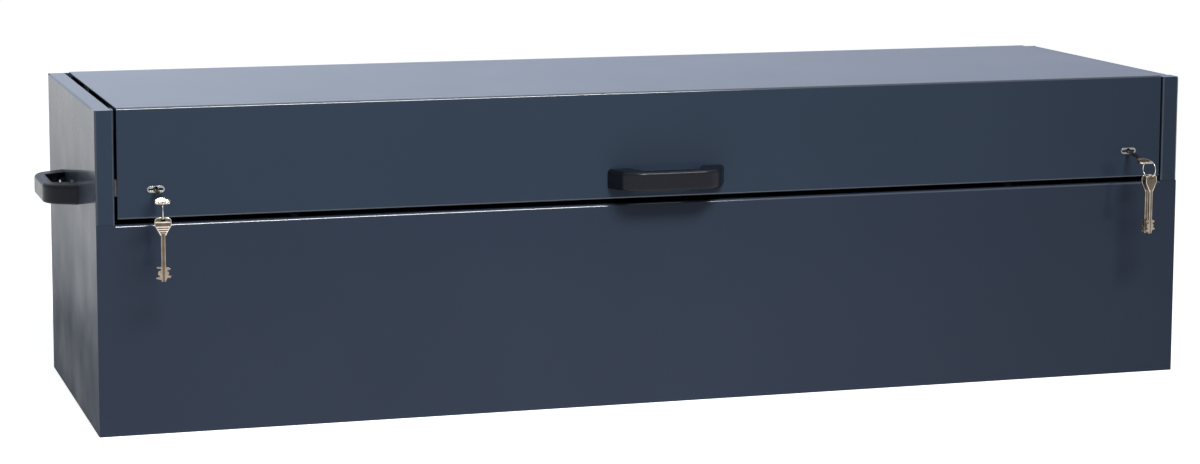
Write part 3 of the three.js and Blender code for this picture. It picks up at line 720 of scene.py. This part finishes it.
@dataclass(frozen=True)
class BridgeHandle:
    """A moulded bridge handle: leaning legs, soft corners, a straight grip and a low lug for each screw."""

    length: float = 196.0
    reach: float = 49.5
    height: float = 31.5
    grip: float = 17.0
    elbow: float = 168.0
    elbow_reach: float = 29.0
    face: float = 104.0
    elbow_pull: Pair = (-4.0, -8.6)
    face_pull: Pair = (14.0, 1.2)
    wall_length: float = 118.0
    grip_length: float = 92.0
    taper: float = 0.5
    soft_round: float = 6.5
    flat_round: float = 3.5
    inner_round: float = 2.6
    inner_corner: float = 3.0
    lug_reach: float = 8.0
    lug_height: float = 16.0
    lug_beyond: float = 7.0
    screw_inset: float = 12.0
    screw_hole: float = 3.4
    seat_gap: float = 0.3
    leg_steps: int = 6
    bend_steps: int = 14
    round_steps: int = 8

    @property
    def screw_offset(self) -> float:
        """How far each screw is from the handle's middle."""
        return self.wall_length / 2 - self.screw_inset

    def stations(self) -> list[tuple[Vector, Vector]]:
        """Gives pairs of outer and inner points along the handle, from one foot to the other."""
        end, wall = Vector((self.length / 2, 0)), Vector((self.wall_length / 2, 0))
        elbow = Vector((self.elbow / 2, -self.elbow_reach))
        face = Vector((self.face / 2, -self.reach))
        corner = Vector((self.grip_length / 2, self.grip - self.reach))
        before = corner.lerp(wall, self.inner_corner / (wall - corner).length)
        after = corner - Vector((self.inner_corner, 0))
        pulls = elbow + Vector(self.elbow_pull), face + Vector(self.face_pull)
        outer_foot = end.lerp(elbow, self.seat_gap / -elbow.y)
        inner_foot = wall.lerp(before, self.seat_gap / -before.y)
        straight, bend = self.leg_steps, self.bend_steps
        pairs = [(outer_foot.lerp(elbow, step / straight), inner_foot.lerp(before, step / straight))
                 for step in range(straight)]
        for step in range(bend + 1):
            t = step / bend
            s = 1 - t
            outer = elbow * s ** 3 + pulls[0] * 3 * s * s * t + pulls[1] * 3 * s * t * t + face * t ** 3
            pairs.append((outer, before * s * s + corner * 2 * s * t + after * t * t))
        middle = Vector((0, face.y)), Vector((0, after.y))
        pairs.extend((face.lerp(middle[0], step / straight), after.lerp(middle[1], step / straight))
                     for step in range(1, straight))
        other = [tuple(Vector((-p.x, p.y)) for p in pair) for pair in reversed(pairs)]
        return [*pairs, middle, *other]

    def section(self, width: float) -> list[Pair]:
        """Gives the rounded section's points from the inner face, as a distance out and a height.

        Args:
            width: How wide the section is.

        Returns:
            The points in order round the section.
        """
        half = self.height / 2
        corners = (
            (width, half, self.soft_round, 90, 0), (width, -half, self.flat_round, 0, -90),
            (0.0, -half, self.inner_round, -90, -180), (0.0, half, self.inner_round, 180, 90),
        )
        points = []
        for out, high, radius, first, last in corners:
            centre = (out - math.copysign(radius, out - width / 2), high - math.copysign(radius, high))
            for step in range(self.round_steps + 1):
                angle = math.radians(first + (last - first) * step / self.round_steps)
                points.append((centre[0] + radius * math.cos(angle), centre[1] + radius * math.sin(angle)))
        return points

    def band(self) -> BMesh:
        """Makes the handle's body as a band of sections, with its soft side up, in metres."""
        bm = bmesh.new()
        rows = []
        for outer, inner in self.stations():
            way = outer - inner
            row = []
            for out, high in self.section(way.length):
                at = inner + way.normalized() * out
                slim = min(max(-at.y / self.elbow_reach, 0.0), 1.0) * self.taper / (self.height / 2)
                z = high * (1 - slim) if high > 0 else high
                row.append(bm.verts.new(Vector((at.x, at.y, z)) * MM))
            rows.append([bm.edges.new(ends) for ends in zip(row, row[1:] + row[:1])])
        for first, second in zip(rows, rows[1:]):
            bmesh.ops.bridge_loops(bm, edges=first + second)
        for foot in (rows[0], rows[-1]):
            bmesh.ops.edgeloop_fill(bm, edges=foot)
        bmesh.ops.remove_doubles(bm, verts=bm.verts, dist=1e-7)
        return bm

    def lug(self, way: int) -> BMesh:
        """Makes the lug that one screw goes through.

        Args:
            way: -1 or 1 for the foot that it stands in.

        Returns:
            The lug in metres.
        """
        start, end = self.screw_offset - self.lug_beyond, self.wall_length / 2 + 1.0
        depth = self.lug_reach - self.seat_gap
        centre = (way * (start + end) / 2, -self.seat_gap - depth / 2, 0)
        hole = turned([(0, -20), (self.screw_hole, -20), (self.screw_hole, 20), (0, 20)], 24)
        block = box((end - start, depth, self.lug_height), centre, 0.9, 3)
        return carve(block, moved(hole, shift(way * self.screw_offset, 0, 0) @ turn(90, "X")))

    def build(self, name: str, node: str, body: str, place: Matrix, material: Material) -> None:
        """Makes the handle on its wall.

        Args:
            name: The piece's name.
            node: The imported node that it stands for.
            body: The body that it rides on.
            place: Where the middle of its back is, with the wall behind it.
            material: What it is moulded from.
        """
        bm = join(self.band(), self.lug(-1), self.lug(1))
        piece = finish_piece(moved(bm, place), name, body, "moulding", material)
        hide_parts(node)


@dataclass(frozen=True)
class PanScrew:
    """A pan-head screw with a cross recess."""

    head_radius: float = 5.5
    head_height: float = 3.4
    shank_radius: float = 3.0
    length: float = 18.0
    recess: float = 5.4
    recess_width: float = 1.1
    recess_depth: float = 1.5
    dome_steps: int = 6

    def build(self, name: str, node: str, body: str, place: Matrix, material: Material) -> None:
        """Makes the screw.

        Args:
            name: The piece's name.
            node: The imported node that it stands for.
            body: The body that it rides on.
            place: Where its head seats, with the head towards -Y.
            material: What it is plated with.
        """
        top, edge = self.head_height, self.head_height * 0.3
        angles = [math.pi / 2 * step / self.dome_steps for step in range(self.dome_steps + 1)]
        dome = [(self.head_radius * math.sin(a), edge + (top - edge) * math.cos(a)) for a in angles]
        bm = turned([*dome, (self.head_radius, 0), (self.shank_radius, 0), (self.shank_radius, -self.length),
                     (0, -self.length)])
        for angle in (45, 135):
            size = (self.recess, self.recess_width, 2 * self.recess_depth)
            bm = carve(bm, moved(box(size, (0, 0, top), 0.15, 1), turn(angle, "Z")))
        piece = finish_piece(moved(bm, place @ turn(90, "X")), name, body, "zinc", material, smooth_deg=35.0)
        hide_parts(node)


@dataclass(frozen=True)
class KeyholePlate:
    """The bright plate round a keyhole, with a slot for the key's two bits and a bulge for its shank."""

    length: float = 27.0
    height: float = 10.5
    thickness: float = 1.5
    slot_length: float = 23.2
    slot_height: float = 3.6
    shank_hole: float = 4.1
    edge: float = 0.45

    def slot(self) -> list[Point]:
        """Gives the keyhole's outline."""
        half = self.slot_height / 2
        reach = (self.slot_length - self.slot_height) / 2
        start = math.asin(half / self.shank_hole)
        lean = self.shank_hole * 4 / 3 * math.tan((math.pi / 2 - start) / 4)
        meet = Vector((math.cos(start), math.sin(start))) * self.shank_hole
        towards = meet + Vector((-math.sin(start), math.cos(start))) * lean
        right = [
            Point((reach, half), (reach + half, half), None),
            Point((meet.x, meet.y), None, (towards.x, towards.y)),
        ]
        crown = [Point((0, self.shank_hole), (lean, self.shank_hole), (-lean, self.shank_hole))]
        upper = right + crown + backwards(mirrored(right))
        lower = [Point((p.at[0], -p.at[1]), p.before and (p.before[0], -p.before[1]),
                       p.after and (p.after[0], -p.after[1])) for p in upper]
        return upper + backwards(lower)

    def build(self, side: Side, vault: Vault, material: Material) -> None:
        """Makes the plate at one end of the lid.

        Args:
            side: The end of the vault.
            vault: The vault's sizes.
            material: What it is plated with.
        """
        bm = plate([oblong_points(self.length, self.height), self.slot()], self.thickness, self.edge, 10)
        y = vault.front - vault.seat_gap - self.thickness / 2
        place = shift(side.value * (vault.end - vault.key_inset), y, vault.key_height) @ turn(90, "X")
        piece = finish_piece(moved(bm, place), f"keyhole_plate_{side.word}", "lid", "zinc", material)
        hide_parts(f"escutcheon_{side.word}")


def numbered(bm: BMesh, part: KeyPart) -> BMesh:
    """Numbers all of a mesh's faces as one part of a key."""
    for face in bm.faces:
        face.material_index = part
    return bm


@dataclass(frozen=True)
class Key:
    """A double-bitted key. Its hole is the origin, its bits point down and its blade faces -Y."""

    length: float = 97.2
    shoulder: float = 5.2
    bow_length: float = 28.4
    half_bow: float = 12.4
    dip: float = 0.5
    hole: float = 3.4
    hole_low: float = -1.0
    core: float = 1.5
    rim: float = 0.8
    thickness: float = 2.4
    band_low: float = 3.9
    scallop: float = 0.8
    bars: tuple[Triple, ...] = (
        (-2.4, 11.2, 2.2), (-9.4, 10.2, 1.9), (-12.9, 8.2, 1.8), (-16.3, 6.2, 1.8), (-19.6, 4.6, 1.7),
    )
    shank: float = 3.5
    shank_half: float = 1.9
    groove: float = 1.3
    groove_depth: float = 0.45
    groove_side: float = 0.35
    stem_overlap: float = 4.0
    bit_length: float = 20.0
    tip: float = 2.5
    left_widths: tuple[float, ...] = (10.2, 10.0, 4.2, 3.9, 7.6, 8.4, 8.2, 6.2, 6.0, 11.3, 11.0, 4.0)
    left_ends: tuple[float, ...] = (0.0, 2.4, 3.2, 5.2, 6.4, 8.8, 12.0, 13.4, 15.2, 16.0, 18.2, 20.0)
    right_widths: tuple[float, ...] = (4.4, 10.0, 9.6, 5.2, 5.4, 7.8, 7.6, 6.6, 10.9, 10.6, 4.6, 4.2)
    right_ends: tuple[float, ...] = (0.0, 2.4, 4.6, 5.4, 6.8, 8.0, 11.4, 13.2, 14.2, 16.6, 17.4, 20.0)

    def top_dip(self, half: float, top: float) -> Point:
        """Gives the middle of the bow's top edge, which dips slightly."""
        low = top - self.dip
        return Point((0, low), (-half * 0.14, low), (half * 0.14, low))

    def bow_outline(self, inset: float = 0.0) -> list[Point]:
        """Gives the bow's shield outline.

        Args:
            inset: How far inside the bow's edge it lies.

        Returns:
            The outline.
        """
        half, top = self.half_bow - inset, self.shoulder - inset
        foot = self.shoulder - self.bow_length + 2 * inset
        narrow = self.shank - min(inset, 1.0)
        right = [
            Point((half * 0.42, top), (half * 0.25, top), (half * 0.78, top)),
            Point((half, -top * 0.3), (half, top * 0.5), None),
            Point((half, foot * 0.24), None, (half, foot * 0.34)),
            Point((half * 0.84, foot * 0.45), (half * 0.92, foot * 0.38), None),
            Point((narrow * 1.3, foot * 0.92), None, (narrow * 1.05, foot * 0.96)),
            Point((narrow, foot), (narrow, foot * 0.985), None),
        ]
        return [self.top_dip(half, top), *right, *backwards(mirrored(right))]

    def hole_outline(self) -> list[Point]:
        """Gives the outline of the half-moon hole that the ring runs through."""
        radius, low = self.hole, self.hole_low
        lean = radius * CIRCLE_LEAN
        right = [
            Point((radius - 0.6, low), None, (radius - 0.2, low)),
            Point((radius, low + 0.5), None, (radius, lean)),
        ]
        crown = [Point((0, radius), (lean, radius), (-lean, radius))]
        return right + crown + backwards(mirrored(right))

    def bit_outline(self) -> list[Point]:
        """Gives the outline of the two stepped bits, which differ."""
        high = self.shoulder - self.length + self.tip + self.bit_length
        right = [Point((width, high - end)) for width, end in zip(self.right_widths, self.right_ends)]
        left = [Point((-width, high - end)) for width, end in zip(self.left_widths, self.left_ends)]
        return right + backwards(left)

    def band_outline(self) -> list[Point]:
        """Gives the outline of the raised band along the bow's top, with a scalloped lower edge."""
        half, top, low = self.half_bow - 0.1, self.shoulder - 0.1, self.band_low
        sag = low - self.scallop
        right = [
            Point((half * 0.42, top), (half * 0.25, top), (half * 0.6, top)),
            Point((half * 0.8, low), (half * 0.74, top * 0.9), (half * 0.76, sag)),
            Point((half * 0.56, low), (half * 0.64, sag), (half * 0.5, sag)),
            Point((half * 0.32, low), (half * 0.38, sag), None),
        ]
        return [self.top_dip(half, top), *right, *backwards(mirrored(right))]

    def stem(self) -> BMesh:
        """Makes the flat shank with a shallow groove along both faces, in metres."""
        high, low = self.shoulder - self.bow_length + self.stem_overlap, self.shoulder - self.length
        wide, deep = self.shank, self.shank_half
        corner = [
            (wide, deep * 0.3), (wide * 0.93, deep * 0.68), (wide * 0.78, deep * 0.93), (wide * 0.6, deep),
            (self.groove + self.groove_side, deep), (self.groove, deep - self.groove_depth),
        ]
        upper = corner + [(-x, y) for x, y in reversed(corner)]
        bm = bmesh.new()
        ring = [bm.verts.new((x * MM, y * MM, low * MM)) for x, y in upper + [(-x, -y) for x, y in upper]]
        section = bm.faces.new(ring)
        made = bmesh.ops.extrude_face_region(bm, geom=[section], use_keep_orig=True)["geom"]
        raised = [part for part in made if isinstance(part, bmesh.types.BMVert)]
        bmesh.ops.translate(bm, vec=(0, 0, (high - low) * MM), verts=raised)
        for face in numbered(bm, KeyPart.SHANK).faces:
            across = abs(face.calc_center_median().x)
            # The groove's faces take the recess finish: patina and painted shade.
            if len(face.verts) == 4 and across < self.groove * 0.5 * MM:
                face.material_index = KeyPart.RECESS
        return bm

    def shape(self) -> BMesh:
        """Makes the key's mesh in its own frame, in metres, with its faces numbered by part."""
        core = plate([self.bow_outline(), self.hole_outline()], self.core, 0.2, 10, 2)
        rim = plate([self.bow_outline(), self.bow_outline(self.rim)], self.thickness, 0.3, 10, 2)
        band = plate([self.band_outline()], self.thickness + 0.2, 0.6, 10, 3)
        bits = plate([self.bit_outline()], self.thickness, 0.3, 1, 2)
        bars = [box((2 * half, height, self.thickness + 0.3), (0, level, 0), height * 0.4, 4)
                for level, half, height in self.bars]
        # The core is a recess, with patina and painted shade.
        parts = [numbered(core, KeyPart.RECESS), rim, band, numbered(bits, KeyPart.SHANK)]
        parts += [numbered(bar, KeyPart.BAR) for bar in bars]
        return join(moved(join(*parts), turn(90, "X")), self.stem())


@dataclass(frozen=True)
class SplitRing:
    """A split ring wound from two turns of wire."""

    radius: float = 13.7
    wire: float = 0.8
    turns: float = 1.94
    steps: int = 112

    def shape(self) -> BMesh:
        """Makes the ring's mesh round the Z axis, in metres."""
        bm = bmesh.new()
        made = bmesh.ops.create_circle(bm, cap_ends=True, segments=12, radius=0.5)
        size = Vector((self.wire * 2 - 0.1, self.wire - 0.05, 1.0)) * MM
        bmesh.ops.scale(bm, vec=size, verts=made["verts"])
        lift = shift(self.radius, 0, -self.wire / 2)
        bmesh.ops.transform(bm, matrix=lift @ turn(90, "X"), verts=made["verts"])
        rise = self.wire * MM / self.steps
        bmesh.ops.spin(bm, geom=bm.verts[:] + bm.edges[:] + bm.faces[:], cent=(0, 0, 0), axis=(0, 0, 1),
                       dvec=(0, 0, rise), angle=math.tau * self.turns, steps=self.steps, use_merge=False)
        bmesh.ops.remove_doubles(bm, verts=bm.verts, dist=1e-8)
        return bm


@dataclass(frozen=True)
class KeyBunch:
    """The key in one lock, its ring and the keys that hang from it."""

    side: Side
    ring_turn: float
    hanging: tuple[tuple[str, str, float], ...]
    key: Key = Key()
    ring: SplitRing = SplitRing()
    droop: float = 9.5
    face_to_tip: float = 25.9
    lean: float = 4.0
    play: float = 0.7
    hang_gap: float = 0.8

    def build(self, vault: Vault, plating: dict[KeyPart, Material]) -> None:
        """Makes the keys and the ring in their places.

        Args:
            vault: The vault's sizes.
            plating: The finish of each part of a key, in the parts' order.
        """
        key, ring, word = self.key, self.ring, self.side.word
        x = self.side.value * (vault.end - vault.key_inset)
        hole = shift(0, self.face_to_tip - (key.length - key.shoulder), 0)
        held = shift(x, vault.front, vault.key_height) @ turn(self.droop, "X") @ hole
        body, finishes = f"lock_key_{word}", plating.values()
        lock_key = finish_piece(moved(key.shape(), held @ turn(90, "X")), f"lock_key_piece_{word}", body,
                                "nickel", *finishes)
        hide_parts(f"key_{word}")
        hang = held @ turn(-self.droop, "X") @ turn(self.ring_turn, "Z")
        out = key.hole + self.lean
        inside = ring.radius - ring.wire - self.play
        droop, half = math.radians(self.droop), key.thickness / 2
        rim_out = key.hole * math.cos(droop) + half * math.sin(droop)
        rim_drop = key.hole * math.sin(droop) - half * math.cos(droop)
        down = math.sqrt(inside ** 2 - (out - rim_out) ** 2) + rim_drop
        loop = finish_piece(moved(ring.shape(), hang @ shift(0, -out, -down) @ turn(90, "Y")),
                            f"split_ring_{word}", body, "nickel", plating[KeyPart.EDGE])
        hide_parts(f"key_ring_{word}")
        for node, spare_body, angle in self.hanging:
            lean = math.radians(angle)
            wire = ring.wire / math.cos(lean) + half * abs(math.tan(lean))
            below = key.hole - wire - self.hang_gap
            back, drop = -out - ring.radius * math.sin(lean), -down - ring.radius * math.cos(lean) - below
            spare = finish_piece(moved(key.shape(), hang @ shift(0, back, drop)), f"{node}_piece", spare_body,
                                 "nickel", *finishes)
            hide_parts(node)


@dataclass(frozen=True)
class Studio:
    """The floor, the backdrop's light, the lamp and the camera."""

    floor_half: float = 30.0
    floor_colour: Triple = (0.9, 0.9, 0.9)
    floor_glow: float = 0.92
    glow_colour: Triple = (0.965, 0.98, 1.0)
    sky_near: Triple = (0.62, 0.70, 0.85)
    sky_far: Triple = (0.40, 0.45, 0.58)
    sky_gap: Triple = (0.25, 0.26, 0.28)
    sky_high: Triple = (0.95, 0.97, 1.0)
    sky_across: Pair = (0.1, 0.45)
    gap_rise: Pair = (0.2, 0.26)
    high_rise: Pair = (0.32, 0.38)
    ambient: float = 0.14
    ambient_colour: Triple = (0.93, 0.96, 1.0)
    lamp_place: Triple = (0.3, -3.3, 3.7)
    lamp_aim: Triple = (-0.52, 0.0, 0.35)
    lamp_size: Pair = (2.6, 1.0)
    lamp_watts: float = 28.5
    lamp_spread: float = 56.0
    camera_place: Triple = (-1.5157, -4.7891, 1.0359)
    yaw: float = 17.3
    pitch: float = 7.25
    roll: float = 0.194
    sensor: float = 36.0
    lens: float = 90.5
    shift_y: float = -0.08

    def build(self) -> None:
        """Makes everything round the vault."""
        self.floor()
        self.world()
        self.lamp()
        self.camera()

    def seen(self, tree: Tree) -> Socket:
        """Gives 1 for the rays that show a thing to the camera, straight or through a mirror or glass.

        Args:
            tree: The tree that it is used in.

        Returns:
            The value output.
        """
        path = tree.node("LightPath").outputs
        share = path["Is Camera Ray"]
        for ray in ("Is Glossy Ray", "Is Transmission Ray"):
            share = tree.node("Math", {0: share, 1: path[ray]}, operation="MAXIMUM").outputs[0]
        return share

    def blend(self, tree: Tree, unseen: bpy.types.Node, shown: bpy.types.Node) -> Socket:
        """Mixes the shader that gives light with the one that shows.

        Args:
            tree: The tree that they are in.
            unseen: The shader for the rays that only light things.
            shown: The shader for the rays that show things.

        Returns:
            The mixed shader's output.
        """
        inputs = {0: self.seen(tree), 1: unseen.outputs[0], 2: shown.outputs[0]}
        return tree.node("MixShader", inputs).outputs[0]

    def floor(self) -> None:
        """Makes the pale floor, which is white to the camera and keeps the vault's shadow."""
        bm = bmesh.new()
        bmesh.ops.create_grid(bm, x_segments=1, y_segments=1, size=self.floor_half)
        mesh = bpy.data.meshes.new("studio_floor")
        bm.to_mesh(mesh)
        bm.free()
        floor = bpy.data.objects.new("studio_floor", mesh)
        bpy.context.scene.collection.objects.link(floor)
        material = bpy.data.materials.new("pale_floor")
        tree = Tree(material)
        matt = tree.node("BsdfDiffuse", {"Color": (*self.floor_colour, 1.0)})
        glow = tree.node("Emission", {"Color": (*self.glow_colour, 1.0), "Strength": self.floor_glow})
        both = tree.node("AddShader", {0: matt.outputs[0], 1: glow.outputs[0]})
        tree.node("OutputMaterial", {"Surface": self.blend(tree, matt, both)})
        mesh.materials.append(material)

    def world(self) -> None:
        """Makes the even light round the vault, with a pale blue backdrop that the top mirrors."""
        world = bpy.data.worlds.new("studio")
        bpy.context.scene.world = world
        tree = Tree(world)
        axes = tree.node("SeparateXYZ", {0: tree.node("TexCoord").outputs["Generated"]}).outputs
        low = tree.tint(tree.spread(axes["X"], 0.0, 1.0, self.sky_across), self.sky_near, self.sky_far)
        gap = tree.tint(tree.spread(axes["Z"], 0.0, 1.0, self.gap_rise), low, self.sky_gap)
        sky = tree.tint(tree.spread(axes["Z"], 0.0, 1.0, self.high_rise), gap, self.sky_high)
        soft = tree.node("Background", {"Color": (*self.ambient_colour, 1.0), "Strength": self.ambient})
        backdrop = tree.node("Background", {"Color": sky, "Strength": 1.0})
        tree.node("OutputWorld", {"Surface": self.blend(tree, soft, backdrop)})

    def lamp(self) -> None:
        """Adds the soft box."""
        data = bpy.data.lights.new("key_light", "AREA")
        data.shape = "RECTANGLE"
        data.size, data.size_y = self.lamp_size
        data.energy = self.lamp_watts
        data.spread = math.radians(self.lamp_spread)
        lamp = bpy.data.objects.new("key_light", data)
        lamp.location = self.lamp_place
        aim = Vector(self.lamp_aim) - Vector(self.lamp_place)
        lamp.rotation_euler = aim.to_track_quat("-Z", "Y").to_euler()
        bpy.context.scene.collection.objects.link(lamp)

    def camera(self) -> None:
        """Puts the camera at the photograph's viewing angle."""
        yaw, pitch, roll = (math.radians(angle) for angle in (self.yaw, self.pitch, self.roll))
        ahead = Vector((math.sin(yaw) * math.cos(pitch), math.cos(yaw) * math.cos(pitch), -math.sin(pitch)))
        level = Vector((math.cos(yaw), -math.sin(yaw), 0.0))
        above = level.cross(ahead)
        right = level * math.cos(roll) + above * math.sin(roll)
        up = above * math.cos(roll) - level * math.sin(roll)
        turned_to = Matrix((right, up, -ahead)).transposed().to_4x4()
        data = bpy.data.cameras.new("camera")
        data.sensor_width = self.sensor
        data.lens = self.lens
        data.shift_y = self.shift_y
        camera = bpy.data.objects.new("camera", data)
        camera.matrix_world = Matrix.Translation(self.camera_place) @ turned_to
        bpy.context.scene.collection.objects.link(camera)
        bpy.context.scene.camera = camera


def place_handles(vault: Vault, finishes: Finishes) -> None:
    """Makes the lid's handle and one at each end, each with two screws.

    Args:
        vault: The vault's sizes.
        finishes: The vault's finishes.
    """
    handle, screw = BridgeHandle(), PanScrew()
    places = {"lid_handle": ("lid", shift(0, vault.front, vault.lid_handle_height))}
    for side in Side:
        mount = shift(side.value * vault.end, vault.front + vault.side_handle_back, vault.side_handle_height)
        places[f"side_handle_{side.word}"] = ("carcass", mount @ turn(side.value * 90, "Z"))
    for node, (body, place) in places.items():
        handle.build(f"{node}_moulding", node, body, place, finishes.moulding)
        for number, way in ((1, -1), (2, 1)):
            across = way if node != "side_handle_right" else -way
            seat = place @ shift(across * handle.screw_offset, -handle.lug_reach - 2 * vault.seat_gap, 0)
            screw.build(f"{node}_pan_screw_{number}", f"{node}_screw_{number}", body, seat, finishes.zinc)


def main() -> None:
    """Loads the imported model, dresses it piece by piece, and sets up the studio."""
    logging.basicConfig(level=logging.INFO, format="%(name)s: %(message)s")
    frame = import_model()
    bpy.context.scene.view_settings.view_transform = "Standard"
    vault, finishes = Vault(), Finishes()
    Studio().build()
    SheetMetal(frame["nodes"], finishes).dress_all()
    place_handles(vault, finishes)
    for side in Side:
        KeyholePlate().build(side, vault, finishes.plate_zinc)
    left = KeyBunch(Side.LEFT, -9.0, (("spare_key_left", "hanging_key_left", 0.0),))
    right = KeyBunch(Side.RIGHT, 20.0, (
        ("spare_key_right_1", "hanging_key_right_1", -20.0),
        ("spare_key_right_2", "hanging_key_right_2", 20.0),
    ))
    left.build(vault, finishes.key_plating(finishes.nickel))
    # Painted shade: the right bunch's bars take the dark finish, while the left bunch's stay bright.
    right.build(vault, finishes.key_plating(finishes.tarnish_and_painted_shade))


if __name__ == "__main__":
    main()
